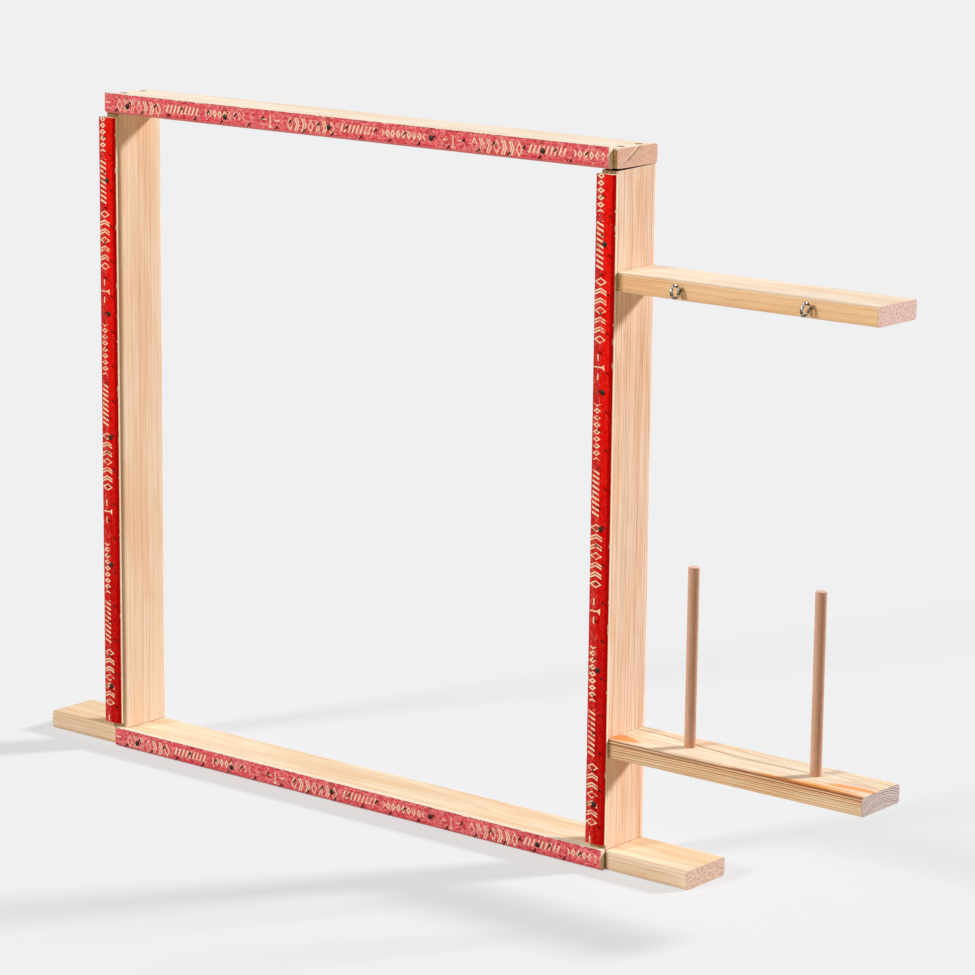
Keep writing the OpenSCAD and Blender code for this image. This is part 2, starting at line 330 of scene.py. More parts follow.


# %% [markdown]
# ## Pine
#
# A tree lays down a ring each year: a wide pale band in spring and a thin dark one in summer.
# A plank is cut out of those rings, so its pattern depends on where the heart of the log lay.
# The material does the same. It measures how far each point is from the heart, in millimetres,
# and colours it by its place in its ring. The lines on the faces and the arcs on the sawn ends
# then agree at every corner, which a flat picture wrapped round the plank would not do.
#
# A plank has three kinds of surface, and each has its own tone: the wide faces, the narrow edges,
# and the sawn ends, where the open fibres look pinker and speckled. The narrow edges' tone is darker
# and yellower, partly the edges' own and partly painted shade, as the front faces take less light.


# %% The pine material
def pine(name, heart, rings, wide, narrow_with_shade, sawn, dark, strength, along="X", lean=(0.0, 0.0), flat=1.0,
         veins=0.4, arcs=0.5, grit=0.5, sawn_dark="#94706a", wander_by=7.0, painted_shadows=(), painted_crevice=0.0, seed=0.0,
         extras=None):
    """Pine with rings of the given width about a heart that lies (across, through) the plank.

    The colours are those of the wide faces, the narrow edges with their painted shade, the sawn ends and the
    summer wood.
    The joint places, each a (place, reach), darken the front edge with a painted shadow, the crevice share
    paints a dark crevice line at the plank's first end, and extras adds the marks of a single plank.
    """
    b = Board(name)
    bench = b.bench()
    a, w, t = b.split(bench)
    nx, ny, nz = b.facing()
    edge = b.ease(ny.size(), 0.5, 0.95)
    end = b.ease((nx if along == "X" else nz).size(), 0.6, 0.9)
    # The rings, wherever the surface cuts them
    wander = b.noise(bench, (0.004, 0.012, 0.012), detail=1.0, shift=seed)
    ripple = b.noise(bench, (0.02, 0.09, 0.09), detail=2.0, shift=seed + 9)
    across = w - heart[0] + a * lean[0] + (wander - 0.5) * wander_by
    deep = t - heart[1] + a * lean[1] + (ripple - 0.5) * 1.3
    radius = b.away(across, deep)
    slow = b.noise(b.join(radius, 0.0, seed), (0.11, 0.0, 1.0), detail=1.0)
    year = radius / rings + (slow - 0.5) * 1.6
    season = year.part()
    luck = b.lottery(year.sum("FLOOR"))
    summer = b.ease(season, 0.42, 0.9) * b.ease(season, 1.0, 0.95) * (luck * 0.75 + 0.25)
    # Fine veins and fibres along the grain
    thread = b.noise(bench, (0.0022, 0.24, 0.24), detail=3.0, rough=0.6, shift=seed + 3)
    vein = b.ease((thread - 0.5).size(), 0.03, 0.0)
    fibre = b.noise(bench, (0.02, 0.75, 0.75), detail=4.0, rough=0.65, shift=seed + 5)
    cloud = b.noise(bench, (0.007, 0.05, 0.05), detail=2.0, shift=seed + 7)
    canal = b.ease(b.noise(bench, (0.12, 2.2, 2.2), detail=0.0, shift=seed + 11), 0.74, 0.8)
    # The narrow edges take a darker, yellower tone: partly their own, partly painted shade.
    face = b.blend(edge, wide, narrow_with_shade)
    face = b.blend(b.ease(cloud, 0.42, 0.66) * 0.5, face, b.blend(1.0, face, "#f6d9bd", "MULTIPLY"))
    # The cutter that rounds the edges leaves a fine line where it stops
    rim = b.ease(((t - PLANK_THICK / 2).size() - PLANK_THICK / 2 + EASED_EDGE).size(), 0.8, 0.2) * edge
    for share in (summer * strength * (edge * (1.0 - flat) + flat), vein * veins,
                  b.ease(fibre, 0.52, 0.7) * 0.22, canal * 0.35, rim * 0.22):
        face = b.blend(share, face, dark)
    # Painted shadow on the front edge by the joints, a painted dark crevice line at the first end, and the
    # sawn ends with their open fibres, arcs and saw marks
    grains = b.noise(bench, (0.3, 0.48, 0.48), detail=2.0, rough=0.8, shift=seed + 13)
    painted_shadow_tone = b.blend(b.ease(grains, 0.42, 0.6), "#452f05", "#a07728")
    front = edge * b.ease(w, -24.0, -30.0)
    # Near each joint place the front edge is darkened: a painted shadow of the strips and the joints.
    for at, reach in painted_shadows:
        face = b.blend(front * b.ease((a - at).size(), reach, reach * 0.3) * 0.85, face, painted_shadow_tone)
    # A painted dark crevice line along the first millimetre of the plank, where it meets another piece.
    if painted_crevice:
        face = b.blend(b.ease(a, 1.3, 0.5) * painted_crevice, face, "#7a5230")
    saw = b.noise(b.join(a, w * 0.2 + t * 0.9, w * 0.05), (0.2, 1.2, 1.0), detail=2.0, shift=seed + 15)
    arc = b.ease(season, 0.25, 0.6) * b.ease(season, 1.0, 0.9) * (luck * 0.4 + 0.6)
    cut = b.coats(sawn, (arc * arcs, sawn_dark), (b.ease(grains, 0.52, 0.68) * grit, sawn_dark),
                  (b.ease(grains, 0.46, 0.32) * grit, "#fff1e6"))
    if extras:
        face, cut = extras(b, face, cut, a, w, t, season)
    colour = b.blend(end, face, cut)
    rough = end * 0.25 + 0.52 + (fibre - 0.5) * 0.25 - summer * 0.08
    height = fibre * 0.35 + thread * 0.3 + summer * 0.25 - canal * 0.5 + end * (grains + saw - 1.0) * 1.5
    return b.surface(colour, rough, height, depth=0.12, gloss=0.3)


def streak(b, face, a, across, at, slope, half, tone, share, start=-50.0, stop=2000.0):
    """One long dark line down a board, as a strong ring or a run of resin leaves."""
    drift = b.noise(b.join(a, at, 0.0), (0.012, 1.0, 1.0), detail=1.0)
    off = (across - at - a * slope + (drift - 0.5) * 6.0).size()
    there = b.ease(a, start, start + 25.0) * b.ease(a, stop, stop - 25.0)
    return b.blend(b.ease(off, half, half * 0.3) * there * share, face, tone)


# %% [markdown]
# Some planks carry marks of their own: the pair of fine lines down the left post, the stronger
# ones on the right post, the orange resin on the lower arm, and on the rail the bruise along the
# split in its end and grey rings round its screws. The base's left foot gets a painted shadow of the
# left post. Each function takes the plank's two colours, for its faces and its sawn ends, lays its
# marks over them, and gives them back. They all take the same values, so pine can call any of them.


# %% Marks of single planks
SCREW_GAP = 30.0
CHECK_LOW, CHECK_HIGH = (-32.0, -0.6), (4.0, 21.6)
POST_LONG, RAIL_LONG = measured("left_post")[1].z, measured("top_rail")[1].x


def left_post_lines(b, face, cut, a, w, t, season):
    for at in (3.0, 7.0):
        face = streak(b, face, a, w, at, 0.004, 0.8, "#b98a60", 0.35)
    return face, cut


def right_post_lines(b, face, cut, a, w, t, season):
    for at, slope, half, share in (
        (-4.0, 0.030, 0.8, 0.4), (1.5, 0.028, 0.8, 0.4), (21.0, 0.004, 0.9, 0.45), (26.0, 0.002, 0.7, 0.4),
        (-26.0, 0.008, 0.7, 0.3), (-14.0, 0.004, 0.7, 0.3), (14.0, -0.006, 0.8, 0.4),
    ):
        face = streak(b, face, a, w, at, slope, half, "#b27a54", share)
    return face, cut


def base_left_foot_shadow(b, face, cut, a, w, t, season):
    """The top of the left foot is painted a shade greyer: a painted shadow of the left post."""
    painted_post_shadow = b.blend(1.0, face, "#f6efe6", "MULTIPLY")
    return b.blend(b.ease(a, 125.0, 95.0) * b.ease(t, 18.0, 20.5), face, painted_post_shadow), cut


def lower_arm_marks(b, face, cut, a, w, t, season):
    """Resin by the post and along the free end, brown lines on top, and strong ones down the front."""
    swirl = b.noise(b.bench(), (0.03, 0.2, 0.2), detail=2.0, shift=21.0)
    streaks = b.ease(b.noise(b.bench(), (0.012, 0.3, 0.3), detail=2.0, shift=23.0), 0.34, 0.5)
    top = b.ease(t, 17.0, 20.0)
    for centre, half, tone, share in (
        ((6.0, -21.0), (32.0, 11.0), "#ea9040", 1.0),
        ((296.0, -13.0), (36.0, 7.5), "#f7a252", 1.0),
        ((258.0, -29.0), (88.0, 6.0), "#f9aa4c", 0.95),
        ((240.0, -30.0), (40.0, 1.4), "#c2701f", 0.75),
        ((272.0, -34.0), (72.0, 1.3), "#b46414", 0.8),
    ):
        along, across = (a - centre[0]) / half[0], (w - centre[1]) / half[1]
        reach = along * along + across * across
        patch = b.ease(reach + (swirl - 0.5) * 1.6, 1.0, 0.4) * top
        face = b.blend(patch * (streaks * 0.65 + 0.35) * share, face, tone)
    under = b.blend(1.0, face, "#c8874a", "MULTIPLY")
    front = b.ease(w, -27.0, -33.0)
    face = b.blend(b.ease(t, 6.0, 18.0) * front * b.ease(season, 0.3, 0.7) * 0.65, face, under)
    for height, half in ((20.0, 0.75), (17.1, 0.55)):
        line = b.ease((t - height + swirl).size(), half, half * 0.4) * b.ease(w, -27.0, -31.0)
        face = b.blend(line * 0.8, face, "#7a4412")
    upper = b.ease(t, 19.0, 20.8)
    crest = w + b.ease(a, 20.0, 150.0) * 16.0
    for across, at, slope, half, share, stop in (
        (crest, 18.0, 0.0, 1.4, 0.9, 262.0), (w, 27.0, -0.05, 0.9, 0.5, 320.0),
        (w, 8.0, -0.02, 0.9, 0.35, 200.0),
    ):
        brown = streak(b, face, a, across, at, slope, half, "#a05c22", share, stop=stop)
        face = b.blend(upper, face, brown)
    return face, cut


def rail_check_marks(b, face, cut, a, w, t, season):
    """A pale line above the split in the right end, and grey, bruised wood below it."""
    run = Vector((CHECK_HIGH[0] - CHECK_LOW[0], CHECK_HIGH[1] - CHECK_LOW[1]))
    way = run.normalized()
    off = (t - CHECK_LOW[1]) * way.x - (w - CHECK_LOW[0]) * way.y
    share = ((w - CHECK_LOW[0]) * way.x + (t - CHECK_LOW[1]) * way.y) / run.length
    bruise = b.noise(b.bench(), (0.2, 0.5, 0.5), detail=3.0, shift=31.0)
    right_end = b.ease(a, 600.0, 700.0)
    cut = b.blend(b.ease((off - 1.0).size(), 0.7, 0.25) * 0.8 * right_end, cut, "#fff0e0")
    low_side = b.ease(off, 0.0, -0.6) * b.ease(off, -5.5, -1.0) * b.ease(share, 0.2, 0.5)
    cut = b.blend(low_side * b.ease(bruise, 0.38, 0.56) * 0.7 * right_end, cut, "#8b7468")
    # Grey rings round the screw heads
    for along in (PLANK_THICK / 2, RAIL_LONG - PLANK_THICK / 2):
        off = b.away(a - along, w.size() - SCREW_GAP / 2)
        face = b.blend(b.ease(off, 5.4, 4.2) * b.ease(t, 15.0, 19.0) * 0.75, face, "#6d6b57")
    return face, cut


# %% [markdown]
# The six planks came out of different logs, so each has its own heart, ring width and tone. A
# painted shadow darkens the front edge by the joints, where the strips and the joints shade it, at
# the places listed for each plank. The right post's sawn top is seen only through the dark gap under
# the rail, so its end tone is painted near black, as painted shade in that gap.

# %% Pine for each plank
BASE_JOINT = 827.0
PINE = {
    "base_plank": pine("base pine", (14.0, -70.0), 4.4, "#fce8ca", "#f9ead2", "#e2c7b8", "#cf9a5e", 0.42,
                       lean=(0.02, 0.01), veins=0.35, arcs=0.25, grit=0.6, painted_shadows=((BASE_JOINT, 8.0),),
                       seed=1.0, extras=base_left_foot_shadow),
    "left_post": pine("left post pine", (-120.0, 30.0), 6.0, "#f2dac1", "#efd0a6", "#dcb499", "#cb9468", 0.32,
                      along="Z", veins=0.35, painted_shadows=((POST_LONG, 12.0), (0.0, 8.0)), painted_crevice=0.5, seed=2.0,
                      extras=left_post_lines),
    # Its sawn-end tone is near black: painted shade of the gap under the rail.
    "right_post": pine("right post pine", (95.0, -26.0), 3.0, "#f6dcc6", "#efd0a6", "#2e1f14", "#c28a60",
                       0.42, along="Z", veins=0.7, painted_shadows=((POST_LONG, 14.0), (0.0, 8.0)), painted_crevice=0.5,
                       seed=3.0, extras=right_post_lines),
    "top_rail": pine("rail pine", (30.0, -96.0), 2.5, "#fef3e2", "#edcb98", "#e4bba4", "#dcb07a", 0.45,
                     veins=0.35, arcs=0.4, grit=0.35, sawn_dark="#b0745f", seed=4.0,
                     painted_shadows=((RAIL_LONG, 7.5), (0.0, 6.0)), extras=rail_check_marks),
    "upper_arm": pine("upper arm pine", (30.0, -90.0), 4.6, "#ffeed9", "#f9d3a4", "#e8cbc4", "#c28e58", 0.25,
                      flat=0.6, veins=0.3, arcs=0.1, grit=1.0, sawn_dark="#a06a70", painted_shadows=((0.0, 13.0),),
                      painted_crevice=0.6, seed=5.0),
    "lower_arm": pine("lower arm pine", (15.0, -45.0), 1.95, "#feecd2", "#fbe1ba", "#f0e4e2", "#7e4c1e", 0.9,
                      lean=(0.04, 0.02), flat=0.25, veins=0.2, arcs=1.0, grit=0.35, sawn_dark="#5a3c46",
                      wander_by=2.5, painted_shadows=((0.0, 9.0),), painted_crevice=0.6, seed=6.0, extras=lower_arm_marks),
}
print("pine finishes:", len(PINE))

# %% [markdown]
# ## Planks
#
# Planed timber comes with its four long edges rounded, and is sawn square to length. A box with a
# bevel would do from afar. Here the section is drawn once and swept along the plank in rings, with
# a few narrow rings at the ends for the tiny broken arris that a saw and some sandpaper leave.
# It catches a thin line of light, and it opens a fine dark crevice where two planks meet.

# %% Planks
ARRIS, ARRIS_STEPS = 0.5, 3
CORNER_STEPS = 7
RING_SPACE = 60.0


def plank_ring(x, inset):
    """The plank's section at x, taken in all round by inset."""
    ring = []
    half_w, half_t = PLANK_WIDTH / 2 - EASED_EDGE, PLANK_THICK / 2 - EASED_EDGE
    for corner, (sw, st) in enumerate(((1, 1), (-1, 1), (-1, -1), (1, -1))):
        for step in range(CORNER_STEPS):
            angle = math.pi / 2 * (corner + step / (CORNER_STEPS - 1))
            reach = EASED_EDGE - inset
            ring.append(Vector((x, sw * half_w + reach * math.cos(angle),
                                PLANK_THICK / 2 + st * half_t + reach * math.sin(angle))) * MM)
    return ring


def plank(name, length, short=0.0):
    """A plank on the bench, from x = 0 to its length. Its far end may be sawn short at the front edge."""
    bm = bmesh.new()
    stations = []
    for step in range(ARRIS_STEPS + 1):
        turn = math.pi / 2 * step / ARRIS_STEPS
        stations.append((ARRIS * (1 - math.cos(turn)), ARRIS * (1 - math.sin(turn))))
    pieces = max(2, round(length / RING_SPACE))
    middle = [(length * i / pieces, 0.0) for i in range(1, pieces)]
    far = [(length - x, inset) for x, inset in reversed(stations)]
    skin(bm, [plank_ring(x, inset) for x, inset in stations + middle + far])
    for point in bm.verts:
        if point.co.x > (length - 1.0) * MM:
            point.co.x -= short * MM * (0.5 - point.co.y / (PLANK_WIDTH * MM))
    return new_object(name, bm)


# %% [markdown]
# ## Countersunk holes
#
# Two screws hold every joint on the real frame, with their heads just under the surface. The holes
# are cut with the Boolean modifier: a turned shape of the drill and countersink is taken out of
# the plank.

# %% Holes
SCREW_SINK, SCREW_HEAD, SCREW_SHANK = 0.4, 8.0, 4.0
SCREW_PLAY = 0.15
HEAD_DEEP = (SCREW_HEAD - SCREW_SHANK) / 2


def drill(places):
    """The shape that the drill takes out at each place. +Z of a place points out of the wood."""
    bm = bmesh.new()
    rim, bore = SCREW_HEAD / 2 + SCREW_PLAY, SCREW_SHANK / 2 + SCREW_PLAY
    profile = [(bore, -9.0), (bore, -SCREW_SINK - HEAD_DEEP), (rim, -SCREW_SINK), (rim, 1.0)]
    for place in places:
        turned(bm, profile, 40, place)
    return new_object("drill", bm)


def pair(x, y, z, turn=Matrix()):
    """The two places of a joint's screws, in millimetres, beside each other along Y."""
    return [Matrix.Translation((x, y + side * SCREW_GAP / 2, z)) @ turn for side in (-1, 1)]


UPSIDE_DOWN = Matrix.Rotation(math.pi, 4, "X")
RAIL_LOW, RAIL_SIZE = measured("top_rail")
LEFT_X, RIGHT_X = RAIL_LOW.x, RAIL_LOW.x + RAIL_SIZE.x
FRAME_TOP = RAIL_LOW.z + PLANK_THICK
UPPER_Z, LOWER_Z = measured("upper_arm")[0].z, measured("lower_arm")[0].z
JOINTS = {
    "rail_screws_left": pair(LEFT_X + PLANK_THICK / 2, 0, FRAME_TOP),
    "rail_screws_right": pair(RIGHT_X - PLANK_THICK / 2, 0, FRAME_TOP),
    "base_screws_left": pair(LEFT_X + PLANK_THICK / 2, 0, 0, UPSIDE_DOWN),
    "base_screws_right": pair(RIGHT_X - PLANK_THICK / 2, 0, 0, UPSIDE_DOWN),
    "upper_arm_screws": pair(RIGHT_X - PLANK_THICK, 0, UPPER_Z + PLANK_THICK / 2, UPRIGHT),
    "lower_arm_screws": pair(RIGHT_X - PLANK_THICK, 0, LOWER_Z + PLANK_THICK / 2, UPRIGHT),
}
HOLES = {
    "base_plank": JOINTS["base_screws_left"] + JOINTS["base_screws_right"],
    "top_rail": JOINTS["rail_screws_left"] + JOINTS["rail_screws_right"],
    "right_post": JOINTS["upper_arm_screws"] + JOINTS["lower_arm_screws"],
}
print("joints:", len(JOINTS))

# %% [markdown]
# The rail's right end has split a little, as the ends of a plank do when they dry: a fine check
# runs from the bottom corner up to the top face. A thin blade shape cuts it. The right post was
# sawn a little out of square, so a dark wedge shows between its top and the rail at the front.


# %% Make the timber
def check_blade(rail_end):
    """A thin bowed blade across the sawn end, from the bottom corner up to the top."""
    bm = bmesh.new()
    deep, thick, mouth = 8.0, 0.40, rail_end + 1.0
    low, high = Vector((0, *CHECK_LOW)), Vector((0, *CHECK_HIGH))
    side = Vector((0, low.z - high.z, high.y - low.y)).normalized() * thick
    rings = []
    for step in range(9):
        share = step / 8
        at = low.lerp(high, share) + side * 2.0 * math.sin(share * 7.0)
        tip, wide = Vector((rail_end - deep, at.y, at.z)), Vector((mouth, at.y, at.z))
        gape = side * (1.0 - 0.6 * abs(share - 0.4))
        rings.append([tip * MM, (wide + gape) * MM, (wide - gape) * MM])
    skin(bm, rings)
    return new_object("check blade", bm)


OUT_OF_SQUARE = 2.2
for node in PINE:
    place, length = stance(node)
    timber = plank(node + "_pine", length, OUT_OF_SQUARE if node == "right_post" else 0.0)
    if node in HOLES:
        to_bench = (Matrix.Translation(place.translation / MM) @ place.to_3x3().to_4x4()).inverted()
        carve(timber, drill([to_bench @ hole for hole in HOLES[node]]))
    if node == "top_rail":
        carve(timber, check_blade(length))
    finish_piece(timber, node, place, PINE[node], sharp=50, weighted=True)

# %% [markdown]
# ## Gripper strips
#
# A gripper strip is a slip of plywood with tack pins through it. Carpet fitters nail it along a
# wall; here it holds the backing cloth. Its face is printed red with cream marks, one edge is
# bevelled, and the bare plies show on the sides. The paint is worn and the edges are nicked.
# The strip is swept in close rings. At a few of them the edge is pushed in, and those points
# carry a mark that tells the material to show bare wood there.

# %% Strip shape
STRIP_WIDE = measured("top_strip")[1].z
STRIP_THICK = 6.5
BEVEL_WIDE, BEVEL_DEEP = 2.5, 3.5
BEVEL_RUN = math.hypot(BEVEL_WIDE, BEVEL_DEEP)
RING_STEP = 2.5
STRIP_END = [(0.0, 0.35), (0.12, 0.1), (0.35, 0.0)]
PLAIN_NICK, BEVEL_NICK = (0.1, 0.35), (0.3, 1.0)
dice = random.Random(7)
print("strip section:", round(STRIP_WIDE, 1), "by", STRIP_THICK, "mm, its bevel", round(BEVEL_RUN, 1), "mm")


def nicks(count, chance, least, most):
    """How deep the edge is nicked at each ring. A nick spreads over a few rings."""
    depths = [0.0] * count
    for i in range(count):
        if dice.random() < chance:
            deep, spread = dice.uniform(least, most), dice.randint(0, 1)
            for j in range(max(0, i - spread), min(count, i + spread + 1)):
                depths[j] = max(depths[j], deep * (1 - abs(i - j) / (spread + 1)))
    return depths


def strip_ring(x, inset, plain, bevel):
    """The section at x, as (point, bare) pairs. Y is depth, with the printed face at -STRIP_THICK."""
    face, wide = -STRIP_THICK, STRIP_WIDE

    def on_bevel(up, sunk):
        """A place on the bevel, a distance up from its low edge and sunk under its face."""
        share = up / BEVEL_RUN
        return (face + BEVEL_DEEP * (1 - share) + sunk * BEVEL_WIDE / BEVEL_RUN,
                BEVEL_WIDE * share + sunk * BEVEL_DEEP / BEVEL_RUN)

    outline = [
        ((-inset, inset), 0), ((-inset, wide - inset), 0),
        ((face + 0.3 + plain, wide - inset), 1),
        ((face + 0.08 + plain * 0.4 + inset, wide - 0.08 - plain * 0.4 - inset), min(1, 0.5 + plain)),
        ((face + inset, wide - 0.3 - plain - inset), min(1, plain * 3)),
        ((face + inset, wide - 0.7 - plain), 0), ((face + inset, BEVEL_WIDE + 0.7), 0),
        ((face + 0.16 + inset, BEVEL_WIDE + 0.12), 0), (on_bevel(BEVEL_RUN - 0.6, inset), 0),
        (on_bevel(bevel + 0.7, inset), 0),
        (on_bevel(bevel + 0.12, inset + bevel * 0.2), min(1, 0.2 + bevel * 2)),
        ((face + BEVEL_DEEP + 0.25, inset), 1),
    ]
    return [(Vector((x, y, z)) * MM, bare) for (y, z), bare in outline]


def strip(name, length, plain_chance, bevel_chance):
    """A strip on the bench, from x = 0 to its length, with its bevelled edge at z = 0.

    The chances are those of a nick in its plain and its bevelled edge, at each ring.
    """
    count = round(length / RING_STEP) + 1
    plain, bevelled = nicks(count, plain_chance, *PLAIN_NICK), nicks(count, bevel_chance, *BEVEL_NICK)
    inner = [length * i / (count - 1) for i in range(1, count - 1)]
    ends = [(length - x, inset) for x, inset in reversed(STRIP_END)]
    rings = [strip_ring(x, inset, 0.0, 0.0) for x, inset in STRIP_END]
    rings += [strip_ring(x, 0.0, plain[i], bevelled[i]) for i, x in enumerate(inner)]
    rings += [strip_ring(x, inset, 0.0, 0.0) for x, inset in ends]
    bm = bmesh.new()
    skin(bm, [[point for point, bare in ring] for ring in rings])
    bares = [bare for ring in rings for point, bare in ring]
    piece = new_object(name, bm)
    piece.data.attributes.new("bare", "FLOAT", "POINT").data.foreach_set("value", bares)
    return piece


# %% [markdown]
# ## Where the pins and nails go
#
# The pins stand in two rows, turn and turn about, and five nails hold each strip. The nails were
# driven by eye, so each one strays a little from an even row. These places are set here because
# the paint of the strip needs them too: it is darkened at each pin, as torn paint and painted shade
# of the pin's hole, and darkened round each nail and in a spot beside it.

# %% Places of pins and nails
PIN_PITCH, PIN_FIRST, PIN_ROWS = 20.3, 20.0, (6.0, STRIP_WIDE - 8.0)
NAIL_PITCH, NAIL_HEAD = 150.0, 5.4
NAILS = {
    "rail": (35.0, ((0.8, -1.8), (1.0, -1.5), (3.6, 0.0), (-3.0, 0.5), (-3.0, 0.0))),
    "post": (44.0, ((0.0, 0.8), (-3.7, -1.0), (-2.2, -1.8), (-8.0, -1.0), (-4.0, -0.4))),
}


def nail_places(kind):
    """(along, across) of each nail, from the strip's left or lower end and from its bevelled edge."""
    first, strays = NAILS[kind]
    return [(first + i * NAIL_PITCH + along, STRIP_WIDE / 2 + across)
            for i, (along, across) in enumerate(strays)]


print("nails on a post strip:", [(round(x, 1), round(z, 1)) for x, z in nail_places("post")])

# %% [markdown]
# ## Print
#
# The strips are printed with a plain cream border: tall diamonds and chevrons, a row of slanted
# bars, a row of small diamonds, and an arrow between two dashes. It could be painted as a picture,
# but a picture has a fixed number of dots. Here each mark is a short formula of the place along
# the strip and across it, repeated with the border's own period, so it stays sharp close by.

# %% The border
PRINT_PERIOD, PRINT_START = 258.5, 19.0


def border(s, z, tall_middle, small_middle):
    """1 where the cream print lies. s runs along the strip and z across it."""
    u = ((s - PRINT_START) / PRINT_PERIOD + 4.0).part() * PRINT_PERIOD
    high, low = z - tall_middle, z - small_middle

    def between(value, start, end):
        return value.over(start) * value.under(end)

    cell = (u / 10.0).part() * 10.0 - 5.0
    third = (u / 30.0).part().over(0.34)
    diamond = ((cell.size() / 4.2 + high.size() / 7.6) - 0.86).size().under(0.17)
    arrowhead = cell + high.size() * 0.42
    chevron = ((arrowhead - 2.9).size().under(0.9)).sum("MAXIMUM", (arrowhead + 0.2).size().under(0.9))
    chevron = chevron * high.size().under(7.4)
    tall = (diamond * (1.0 - third) + chevron * third) * between(u, 0.0, 70.0)
    bars = (((u - low * 0.4) / 5.6).part().under(0.4)) * low.size().under(4.4) * between(u, 77.0, 128.0)
    bead = (u / 7.4).part() * 7.4 - 3.7
    beads = (bead.size() / 3.1 + low.size() / 4.8).under(1.0)
    beads = beads * (bead.size() / 1.3 + low.size() / 2.0).over(1.0) * between(u, 136.9, 196.1)
    dashes = low.size().under(0.75) * (between(u, 221.0, 228.0).sum("MAXIMUM", between(u, 241.0, 248.0)))
    stem = (u - 234.5).size().under(0.7) * high.size().under(6.5)
    head = ((u - 234.5).size() + (high + 5.0) * 0.8).under(2.4) * high.over(-6.5)
    marks = tall
    for mark in (bars, beads, dashes, stem, head):
        marks = marks.sum("MAXIMUM", mark)
    return marks


# %% [markdown]
# The print lies over worn red paint on plywood. The paint is drawn in layers, as it came about:
# the red with its mottling, the cream border, the specks and streaks where it has gone, a dark mouth
# at each pin, as torn paint and painted shade of its hole, a dark ring round each nail and a dark
# spot beside it, and at last the bare plies where the surface faces another way or the edge is nicked.


# %% The printed plywood
def printed_ply(name, kind, low_red, high_red, band_red, bevel_red, pale, deep, mottle, tall_middle,
                small_middle, band, torn):
    """Red print on plywood, from low_red at the strip's left or lower end to high_red at the other.

    Beyond the height band it turns to band_red. The two middles are the heights of the border's
    tall and small marks, and torn says how much of the dirty line shows along the plain edge.
    """
    b = Board(name)
    bench = b.bench()
    s, y, z = b.split(bench)
    grain = b.noise(bench, (0.06, 1.0, 0.9), detail=4.0, rough=0.7)
    fleck = b.noise(bench, (0.28, 0.5, 0.46), detail=3.0, rough=0.75, shift=4.0)
    cloud = b.noise(bench, (0.014, 0.1, 0.10), detail=2.0, shift=8.0)
    speck = b.noise(bench, (0.5, 0.6, 0.8), detail=1.0, shift=12.0)
    # Red, thinner where the print was rolled on, with pale and deep mottling
    red = b.blend(b.ease(s, 60.0, 620.0), low_red, high_red)
    in_band = b.ease(z + (cloud - 0.5) * 9.0 + (fleck - 0.5) * 6.0, band - 2.5, band + 2.5)
    paler = (in_band * 0.8 + 0.2) * mottle
    wear = b.ease(fleck * 0.7 + cloud * 0.9 + grain * 0.3, 1.12, 0.96)
    red = b.coats(red, (in_band, band_red), (b.ease(fleck, 0.52, 0.66) * paler, pale),
                  (b.ease(fleck, 0.47, 0.34) * mottle, deep), (b.ease(grain, 0.55, 0.68) * paler, pale),
                  (border(s, z, tall_middle, small_middle) * wear * 0.95, "#fff0cd"),
                  (b.ease(z, BEVEL_WIDE + 0.9, BEVEL_WIDE - 0.3), bevel_red))
    # Specks and streaks where the paint is gone, and a dirty line along the plain edge
    worn = b.ease(speck, 0.68, 0.74) * 0.8 + b.ease(grain * fleck, 0.40, 0.47) * 0.6
    blot = b.noise(bench, (0.2, 0.5, 0.5), detail=3.0, shift=16.0)
    dashes = b.ease(b.noise(bench, (0.09, 0.2, 0.2), detail=2.0, shift=19.0), 0.46, 0.54)
    red = b.coats(red, (worn.sum("MINIMUM", 1.0) * (in_band * 0.85 + 0.15), "#f0c8b4"),
                  (b.ease(blot, 0.64, 0.72) * 0.6, "#5e0f14"),
                  (b.ease(z, STRIP_WIDE - 1.1, STRIP_WIDE - 0.5) * dashes * torn, "#5c1018"))
    # Dark mouths at the pins, torn paint and painted shade of the holes, and a dark ring and a dark spot by
    # each nail
    turn = ((s - PIN_FIRST) / PIN_PITCH).sum("ROUND")
    odd = (turn / 2.0).part().over(0.25)
    row = odd * (PIN_ROWS[1] - PIN_ROWS[0]) + PIN_ROWS[0]
    near = b.away(s - turn * PIN_PITCH - PIN_FIRST, z - row)
    # Torn paint and painted shade of the pin's hole darken a mouth round each pin.
    red = b.blend(b.ease(near + (fleck - 0.5) * 2.0, 1.35, 0.8) * 0.5, red, "#45090a")
    for along, across in nail_places(kind):
        off = b.away(s - along, z - across) - NAIL_HEAD / 2
        nail_spot = b.away(s - along + 1.0, z - across - 9.0)
        red = b.coats(red, (b.ease(off + (fleck - 0.5) * 1.5, 1.1, 0.2) * 0.7, "#4a0d0d"),
                      (b.ease(nail_spot + (fleck - 0.5) * 8.0, 3.4, 1.4) * 0.4, "#59451f"))
    # Bare plies: two pale ones along the strip, and a darker one between them
    ply = b.ease((y + STRIP_THICK / 2).size(), 1.15, 0.95)
    glue = b.ease(((y + STRIP_THICK / 2).size() - 1.05).size(), 0.22, 0.1)
    wood = b.coats("#fff7e8", (ply, "#f6e6cb"), (glue * 0.35, "#b08d60"),
                   (b.ease(grain, 0.5, 0.75) * 0.25, "#c6a67a"))
    printed = b.ease(b.facing()[1], -0.3, -0.45) * b.ease(b.mark("bare") + (fleck - 0.5) * 0.7, 0.62, 0.45)
    colour = b.blend(printed, wood, red)
    rough = 0.62 - printed * 0.12 + (fleck - 0.5) * 0.3
    height = grain * 0.5 + fleck * 0.35 + printed * 0.8 - worn * 0.5 * printed
    return b.surface(colour, rough, height, depth=0.10, gloss=0.05)


